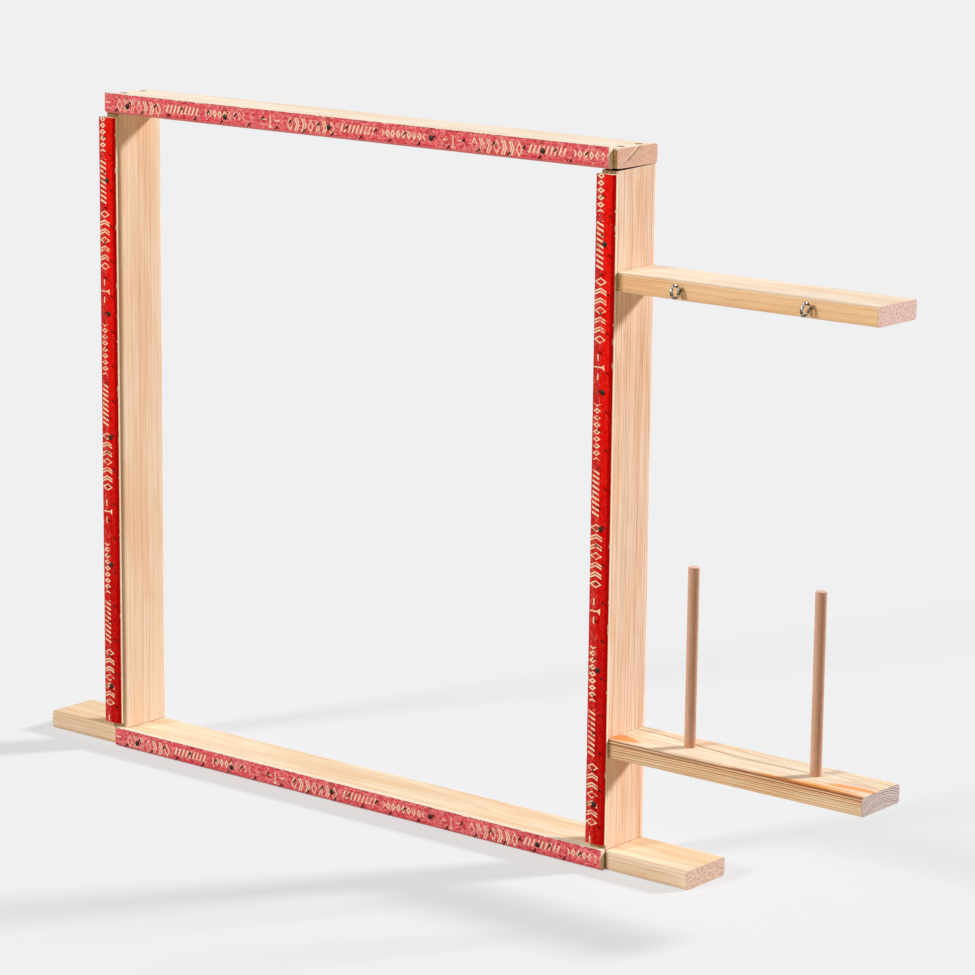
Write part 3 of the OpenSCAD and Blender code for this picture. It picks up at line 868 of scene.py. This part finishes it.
PLY = {
    "rail": printed_ply("rail strip print", "rail", "#e64b56", "#e64b56", "#ee5b68", "#e88890", "#fcbcb8",
                        "#8c1624", 0.85, 10.6, 12.6, 4.0, 0.5),
    "post": printed_ply("post strip print", "post", "#c80504", "#f80b02", "#d42424", "#d80200", "#f07c68",
                        "#800403", 0.5, 15.2, 17.0, 14.0, 0.25),
}
NICK_CHANCES = {"rail": (0.08, 0.03), "post": (0.04, 0.04)}
STRIPS = {}
for node in ("top_strip", "bottom_strip", "left_strip", "right_strip"):
    low, size = measured(node)
    kind = "post" if size.z > size.x else "rail"
    place, length = stance(node, low.y + size.y)
    STRIPS[node] = (place, length, kind)
    finish_piece(strip(node + "_ply", length, *NICK_CHANCES[kind]), node, place, PLY[kind], sharp=35)

# %% [markdown]
# ## Metal
#
# The pins, nails, screws and eyes are all steel, some of it plated. A plain metal shader would do
# from afar, but worn steel has patches of scale, where it is darker or duller, and fine scratches.
# On the plated eyes the tone is dark and the patches are pale: painted reflections of dark and bright
# surroundings. One function makes all four finishes, with a tone, a share of patches and a roughness
# for each.

# %% Metal finishes
def steel(name, tone, scale_and_reflection_tone, scale_and_reflection_share, rough, scratch=3.0, patches=0.9):
    """Bare or plated steel with patches of scale and fine scratches. Pale patches on a dark tone paint
    reflections.
    """
    b = Board(name)
    bench = b.bench()
    patch = b.noise(bench, patches, detail=3.0, rough=0.65)
    grit = b.noise(bench, (scratch, scratch, scratch * 0.3), detail=2.0, shift=5.0)
    colour = b.coats(tone, (b.ease(patch, 0.45, 0.65) * scale_and_reflection_share, scale_and_reflection_tone),
                     (b.ease(grit, 0.6, 0.75) * 0.35, scale_and_reflection_tone))
    dull = (patch - 0.5) * 0.25 + (grit - 0.5) * 0.15 + rough
    return b.surface(colour, dull, grit + patch * 0.5, depth=0.03, metal=1.0)


PIN_STEEL = steel("tack pin steel", "#41352f", "#221b18", 0.6, 0.36)
NAIL_STEEL = steel("nail steel", "#36372e", "#1b1a16", 0.7, 0.42)
SCREW_STEEL = steel("screw zinc", "#464a40", "#2b2c26", 0.6, 0.42)
# The eyes' dark tone and pale patches are painted reflections, dark and bright, on the nickel.
EYE_NICKEL = steel("screw eye nickel", "#584e46", "#ebe6df", 0.9, 0.2, scratch=2.0, patches=0.3)
print("metal finishes:", [m.name for m in (PIN_STEEL, NAIL_STEEL, SCREW_STEEL, EYE_NICKEL)])

# %% [markdown]
# ## Tack pins
#
# The pins are short lengths of steel wire with a four-sided point, driven through the strip from
# behind so that they lean towards the bevelled edge. They stand in two rows, turn and turn about.
# All the pins of one strip are one piece, because they are one thing to the maker: a strip comes
# with its pins in it.

# %% Pins
PIN_WIDE, PIN_OUT, PIN_LEAN, PIN_POINT = 1.6, 4.6, math.radians(35), 2.0


def tack_pin(bm, place):
    """One pin. +Z of its place points out of the strip, and z = 0 lies in the printed face."""
    buried = (STRIP_THICK - 0.1) / math.cos(PIN_LEAN) - PIN_WIDE / 2 * math.tan(PIN_LEAN)
    shown = PIN_OUT / math.cos(PIN_LEAN)
    rings = []
    for height, radius, square in ((-buried, PIN_WIDE / 2, 0), (shown - PIN_POINT, PIN_WIDE / 2, 0),
                                   (shown - PIN_POINT * 0.62, PIN_WIDE * 0.40, 0.8),
                                   (shown - 0.12, PIN_WIDE * 0.07, 1.0), (shown, PIN_WIDE * 0.02, 1.0)):

        def reach(angle):
            flat = 1.0 / max(abs(math.cos(angle)), abs(math.sin(angle))) * 0.86
            return radius * (1 + square * (flat - 1))

        rings.append(spun(place, height, 16, reach, start=0.5))
    skin(bm, rings)


for strip_node, (place, length, _) in STRIPS.items():
    node = strip_node.replace("strip", "pins")
    bm = bmesh.new()
    for i in range(int((length - 2 * PIN_FIRST) / PIN_PITCH) + 1):
        at = Matrix.Translation((PIN_FIRST + i * PIN_PITCH, -STRIP_THICK, PIN_ROWS[i % 2]))
        lean = Matrix.Rotation(math.radians(90) + PIN_LEAN, 4, "X")
        tack_pin(bm, at @ lean @ Matrix.Rotation(dice.uniform(0, math.pi / 2), 4, "Z"))
    finish_piece(new_object(node.replace("pins", "tack_pins"), bm), node, place, PIN_STEEL, sharp=35)

# %% [markdown]
# ## Nails
#
# Five nails hold each strip. Their heads are dark, slightly domed and never quite flat, because
# a hammer drives them. The dome is turned from a profile, and each nail is tipped a little.

# %% Nails
NAIL_WIDE, NAIL_HIGH, NAIL_LONG, NAIL_RIM = 1.8, 0.9, 22.0, 0.42


def nail(bm, place):
    """One nail. +Z points out of the strip, and the head rests on z = 0."""
    shank, rim = NAIL_WIDE / 2, NAIL_HEAD / 2
    profile = [(0.06, -NAIL_LONG), (shank, NAIL_WIDE - NAIL_LONG)]
    profile += [(shank + (0.08 if i % 2 else 0), -6.0 + i * 0.45) for i in range(10)]
    profile += [(shank, 0.0), (rim - 0.12, 0.02), (rim, 0.2), (rim - 0.02, NAIL_RIM)]
    for step in range(1, 6):
        turn = math.pi / 2 * step / 5
        height = NAIL_RIM + (NAIL_HIGH - NAIL_RIM) * math.sin(turn)
        profile.append((max(0.05, (rim - 0.1) * math.cos(turn)), height))
    turned(bm, profile, 28, place)


def tipped(axis):
    """Up to two degrees out of true, as the hammer leaves it."""
    return Matrix.Rotation(math.radians(dice.uniform(-2, 2)), 4, axis)


for strip_node, (place, _, kind) in STRIPS.items():
    node = strip_node.replace("strip", "nails")
    bm = bmesh.new()
    for along, across in nail_places(kind):
        at = Matrix.Translation((along, -STRIP_THICK, across))
        nail(bm, at @ Matrix.Rotation(math.radians(90), 4, "X") @ tipped("X") @ tipped("Y"))
    finish_piece(new_object(node.replace("nails", "strip_nails"), bm), node, place, NAIL_STEEL, sharp=40)

# %% [markdown]
# ## Wood screws
#
# A screw thread is one ridge that climbs as it goes round. It is made here from rings of points
# set close together: in each ring the radius swells at one angle, and that angle moves on from
# ring to ring. The head is turned, and a tapered punch is meant to cut the cross recess out of it.
#
# That cut has a known fault. The punch's two arms cross each other in one mesh, and the exact
# Boolean then takes away the whole turned body, head and plain shank, so the finished screws are
# only their threads and the countersinks look empty. Setting use_self on the modifier, or cutting
# with one arm at a time, keeps the head. The thread's faces are also added after the normals are
# set, so their two sides are mixed up until bmesh.ops.recalc_face_normals is called once more.

# %% Threads and screws
def threaded(bm, place, start, end, core, crest, pitch, sides=14, step=0.3, tip=3.0):
    """A threaded shank down Z from start to end, with a pointed tip."""
    rings = []
    count = int((start - end) / step)
    for i in range(count + 1):
        height = start - (start - end) * i / count
        fade, swell = min(1.0, (height - end) / tip), min(1.0, i / 6)

        def reach(angle):
            phase = (height / pitch - angle / (2 * math.pi)) % 1.0
            ridge = max(0.0, 1.0 - abs(phase - 0.5) * 3.6)
            return max(0.05, (core + (crest - core) * ridge * swell) * fade)

        rings.append(spun(place, height, sides, reach))
    skin(bm, rings)


PUNCH = ((-SCREW_SINK - 1.35, 0.9, 0.28), (-SCREW_SINK - 0.4, 2.0, 0.5), (0.3, 2.5, 0.62))


def punch(place):
    """The tapered cross meant for a screw's head. Its crossing arms are what the Boolean trips on."""
    bm = bmesh.new()
    for turn in (0, 90):
        spin = place @ Matrix.Rotation(math.radians(turn), 4, "Z")
        rings = []
        for height, reach, half in PUNCH:
            corners = ((reach, half), (-reach, half), (-reach, -half), (reach, -half))
            rings.append([spin @ Vector((x, y, height)) * MM for x, y in corners])
        skin(bm, rings)
    return new_object("punch", bm)


SCREW_LONG, SCREW_CORE, THREAD_TOP, THREAD_PITCH = 45.0, 1.3, -11.0, 1.8
HEAD_TOP, HEAD_FOOT = -SCREW_SINK, -SCREW_SINK - HEAD_DEEP
rim, shank = SCREW_HEAD / 2, SCREW_SHANK / 2
plain_shank = [(SCREW_CORE, -12.0), (SCREW_CORE, -9.0), (shank * 0.75, -8.5), (shank * 0.75, HEAD_FOOT - 0.6)]
screw_head = [(shank, HEAD_FOOT), (rim - 0.15, HEAD_TOP - 0.28), (rim, HEAD_TOP - 0.14),
              (rim - 0.12, HEAD_TOP), (0.2, HEAD_TOP)]
for node, places in JOINTS.items():
    bm = bmesh.new()
    for place in places:
        turned(bm, plain_shank + screw_head, 40, place)
    screws = new_object(node.replace("_screws", "_wood_screws"), bm)
    for place in places:
        carve(screws, punch(place))
    bm = bmesh.new()
    bm.from_mesh(screws.data)
    for place in places:
        threaded(bm, place, THREAD_TOP, -SCREW_LONG, SCREW_CORE, shank, THREAD_PITCH)
    bm.to_mesh(screws.data)
    bm.free()
    finish_piece(screws, node, Matrix(), SCREW_STEEL, sharp=35)

# %% [markdown]
# ## Screw eyes
#
# A screw eye is one piece of nickel-plated wire: a threaded shank that bends into a ring, with
# the cut end of the wire stopping just short of the shank. It is swept along that path. The rings
# of points are turned so that they always stand square to the wire.

# %% Screw eyes
EYE_WIDE, EYE_WIRE, EYE_NECK, EYE_SHANK, EYE_PITCH = 16.0, 3.2, 3.0, 18.0, 1.1
EYE_GAP, BEND_RADIUS = 13.0, 1.8
EYE_RADIUS, EYE_CORE = (EYE_WIDE - EYE_WIRE) / 2, EYE_WIRE * 0.34


def eye_path():
    """Points of the wire's middle line in the ring's own plane, (y, z), from its cut end to the arm."""
    leave = math.asin(BEND_RADIUS / (EYE_RADIUS + BEND_RADIUS))
    start = math.radians(360 - EYE_GAP)
    angles = [start + (leave - start) * i / 60 for i in range(61)]
    path = [(EYE_RADIUS * math.cos(angle), EYE_RADIUS * math.sin(angle)) for angle in angles]
    heart = (path[-1][0] + BEND_RADIUS * math.cos(leave), BEND_RADIUS)
    for i in range(1, 9):
        turn = (math.pi / 2 - leave) * (1 - i / 8)
        path.append((heart[0] - BEND_RADIUS * math.sin(turn), heart[1] - BEND_RADIUS * math.cos(turn)))
    return path + [(EYE_RADIUS + EYE_NECK + 0.3 * i, 0.0) for i in range(2)]


def wire(bm, path, radius, sides):
    """Sweeps a round wire along a flat path in the plane x = 0."""
    rings = []
    for i, (y, z) in enumerate(path):
        before, after = path[max(0, i - 1)], path[min(len(path) - 1, i + 1)]
        run = Vector((0, after[0] - before[0], after[1] - before[1])).normalized()
        side, up = Vector((1, 0, 0)), Vector((1, 0, 0)).cross(run)
        reach = radius * (0.86 if i == 0 else 1.0)
        stand = Matrix((side, up, run)).transposed().to_4x4()
        rings.append(spun(Matrix.Translation((0, y, z)) @ stand, 0.0, sides, reach))
    skin(bm, rings)


for node, name, turn in (("inner_eye", "inner_thread_eye", -4.0), ("outer_eye", "outer_thread_eye", 8.0)):
    peg_low, peg_size = measured(node.replace("eye", "peg"))
    front = measured(node)[0].y
    middle = Vector((peg_low.x + peg_size.x / 2, front + EYE_WIDE / 2, UPPER_Z + PLANK_THICK / 2))
    bm = bmesh.new()
    wire(bm, eye_path(), EYE_WIRE / 2, 20)
    shank = Matrix.Translation((0, EYE_RADIUS + EYE_NECK, 0)) @ Matrix.Rotation(math.radians(90), 4, "X")
    threaded(bm, shank, 0.0, -EYE_SHANK, EYE_CORE, EYE_WIRE / 2, EYE_PITCH, sides=16, step=0.16, tip=2.4)
    place = Matrix.Translation(middle * MM) @ Matrix.Rotation(math.radians(turn), 4, "Y")
    finish_piece(new_object(name, bm), node, place, EYE_NICKEL, sharp=40)

# %% [markdown]
# ## Cone pegs
#
# The pegs are hardwood dowels, browner and finer than the pine, glued into the lower arm. A dowel
# is turned from a profile with a small eased edge at its top. Its material is the pine's idea
# with short fine pores in place of rings.


# %% Dowels
def dowel(name, seed):
    """Brown hardwood with fine pores, more orange at its foot as painted bounce light from the arm, and
    darker on its right at the front as painted shade.
    """
    b = Board(name)
    bench = b.bench()
    a, w, t = b.split(bench)
    fibre = b.noise(bench, (0.03, 0.9, 0.9), detail=4.0, rough=0.6, shift=seed)
    pore = b.ease(b.noise(bench, (0.22, 3.2, 3.2), detail=1.0, shift=seed + 2), 0.60, 0.68)
    cloud = b.noise(bench, (0.02, 0.12, 0.12), detail=2.0, shift=seed + 4)
    # Painted light on the side: darker on its right at the front as painted shade, and more orange at its
    # foot as painted bounce light from the arm.
    side = b.coats("#e1b9a0", (cloud, "#d4a990"), (b.ease(w * 0.83 - t * 0.56, 2.0, 5.5) * 0.35, "#9c6b50"),
                   (b.ease(a, 14.0, 0.0) * 0.4, "#d98f52"), (b.ease(fibre, 0.45, 0.75) * 0.45, "#a5744f"),
                   (pore * 0.45, "#8a5c3e"))
    end = b.ease(b.facing()[2], 0.6, 0.9)
    grit = b.noise(bench, (0.5, 2.4, 2.4), detail=3.0, rough=0.7, shift=seed + 6)
    sawn = b.blend(b.ease(grit, 0.45, 0.7), "#efd2c2", "#c49a86")
    height = fibre * 0.5 - pore * 0.6 + end * grit
    rough = (fibre - 0.5) * 0.2 + 0.5 + end * 0.2
    return b.surface(b.blend(end, side, sawn), rough, height, depth=0.08, gloss=0.3)


PEG_FOOT, PEG_RELIEF, PEG_EASE = 15.0, 0.3, 0.8
for seed, (node, name) in enumerate((("inner_peg", "inner_cone_peg"), ("outer_peg", "outer_cone_peg"))):
    wood = dowel("dowel " + node[:5], seed * 5.0)
    low, size = measured(node)
    radius, tall = size.x / 2, size.z - PEG_FOOT
    profile = [(radius - PEG_RELIEF, -PEG_FOOT), (radius - PEG_RELIEF, -0.02), (radius, 0.0)]
    profile += [(radius, tall * i / 12) for i in range(1, 12)]
    for step in range(5):
        turn = math.pi / 2 * step / 4
        profile.append((radius - PEG_EASE * (1 - math.cos(turn)), tall - PEG_EASE * (1 - math.sin(turn))))
    profile.append((0.3, tall))
    bm = bmesh.new()
    turned(bm, profile, 56)
    place = Matrix.Translation(Vector((low.x + radius, 0, low.z + PEG_FOOT)) * MM)
    lay = Matrix(((0, 0, 1), (1, 0, 0), (0, 1, 0)))
    finish_piece(new_object(name, bm), node, place, wood, sharp=50, grain=lay)

# %% [markdown]
# ## Floor
#
# The photograph has a plain pale ground, and a wide pale floor gives one here. Such a floor would
# throw too much light back at the undersides, so the rays that bounce off it meet a darker, warmer
# tone, as if the frame stood among wooden things. Only the camera, and what is seen in metal or
# through glass, meets the pale one. The floor still takes the frame's shadow.

# %% Floor
FLOOR_BASE, FLOOR_GLOW, FLOOR_BOUNCE = (0.292, 0.303, 0.322), 0.57, (0.60, 0.46, 0.33)
FLOOR_SIZE, FLOOR_DROP = 60.0, 0.0002


def in_sight(tree):
    """1 for rays from the camera, from a glossy surface or through glass, and 0 for other light."""
    path = tree.nodes.new("ShaderNodeLightPath")
    seen = path.outputs["Is Camera Ray"]
    for kind in ("Is Glossy Ray", "Is Transmission Ray"):
        either = tree.nodes.new("ShaderNodeMath")
        either.operation = "MAXIMUM"
        tree.links.new(seen, either.inputs[0])
        tree.links.new(path.outputs[kind], either.inputs[1])
        seen = either.outputs[0]
    return seen


bm = bmesh.new()
bmesh.ops.create_grid(bm, x_segments=1, y_segments=1, size=FLOOR_SIZE)
floor = new_object("floor", bm)
b = Board("pale floor")
seen = Wire(b, in_sight(b.material.node_tree))
tones = [seen * (base - bounce) + bounce for base, bounce in zip(FLOOR_BASE, FLOOR_BOUNCE)]
floor.data.materials.append(b.surface(b.join(*tones), 0.9, gloss=0.0))
b.shader.inputs["Emission Color"].default_value = (1, 1, 1, 1)
b.plug(seen * FLOOR_GLOW, b.shader.inputs["Emission Strength"])
floor.location.z = -FLOOR_DROP
print("floor:", 2 * FLOOR_SIZE, "m wide")

# %% [markdown]
# ## Light
#
# Two suns with soft edges light the frame, over a dim warm sky. The key sun stands low behind and
# to the right, which puts the shadows of the rail and arms on the faces of the posts. The second
# sun, in front and to the left, fills the printed faces. The camera sees a pale backdrop in place
# of that sky, so the background is bright without any more light on the wood.

# %% Light
SKY, BACKGROUND = (0.165, 0.145, 0.115), (0.855, 0.855, 0.855)


def sun(name, towards, level, angle):
    """A sun that stands in the direction given. Level 1 makes a white card that faces it white."""
    data = bpy.data.lights.new(name, "SUN")
    data.energy, data.angle = level * math.pi, math.radians(angle)
    lamp = bpy.data.objects.new(name, data)
    bpy.context.collection.objects.link(lamp)
    lamp.rotation_mode = "QUATERNION"
    lamp.rotation_quaternion = Vector(towards).to_track_quat("Z", "Y")
    print(name, "towards", towards, "level", level)


sun("key sun", (0.45, 0.66, 0.42), 1.20, 8)
sun("fill sun", (-0.42, -1.0, 0.55), 0.62, 12)

world = bpy.data.worlds.new("studio")
bpy.context.scene.world = world
world.use_nodes = True
nodes, links = world.node_tree.nodes, world.node_tree.links
tone = nodes.new("ShaderNodeMix")
tone.data_type = "RGBA"
tone.inputs[6].default_value, tone.inputs[7].default_value = (*SKY, 1), (*BACKGROUND, 1)
links.new(in_sight(world.node_tree), tone.inputs[0])
links.new(tone.outputs[2], nodes["Background"].inputs["Color"])
bpy.context.scene.view_settings.view_transform = "Standard"

# %% [markdown]
# ## Camera
#
# The camera was found from the photograph: its place, three angles and focal length were fitted
# so that some fifty corners of the CAD model fall on their pixels, to within about a pixel.

# %% Camera
CAMERA_AT = Vector((2619.0, -3032.5, 1229.9)) * MM
YAW, PITCH, ROLL = math.radians(38.9035), math.radians(12.2933), math.radians(0.6393)
FOCAL_PIXELS, PHOTO_PIXELS, SENSOR = 3708.2, 975, 36.0

data = bpy.data.cameras.new("camera")
data.sensor_width = SENSOR
data.lens = FOCAL_PIXELS * SENSOR / PHOTO_PIXELS
data.clip_start, data.clip_end = 0.1, 200.0
camera = bpy.data.objects.new("camera", data)
bpy.context.collection.objects.link(camera)
forward = Vector((-math.sin(YAW) * math.cos(PITCH), math.cos(YAW) * math.cos(PITCH), -math.sin(PITCH)))
level_right = forward.cross(Vector((0, 0, 1))).normalized()
level_up = level_right.cross(forward)
right = level_right * math.cos(ROLL) + level_up * math.sin(ROLL)
up = level_up * math.cos(ROLL) - level_right * math.sin(ROLL)
camera.matrix_world = Matrix.Translation(CAMERA_AT) @ Matrix((right, up, -forward)).transposed().to_4x4()
bpy.context.scene.camera = camera
print("lens:", round(data.lens, 1), "mm")
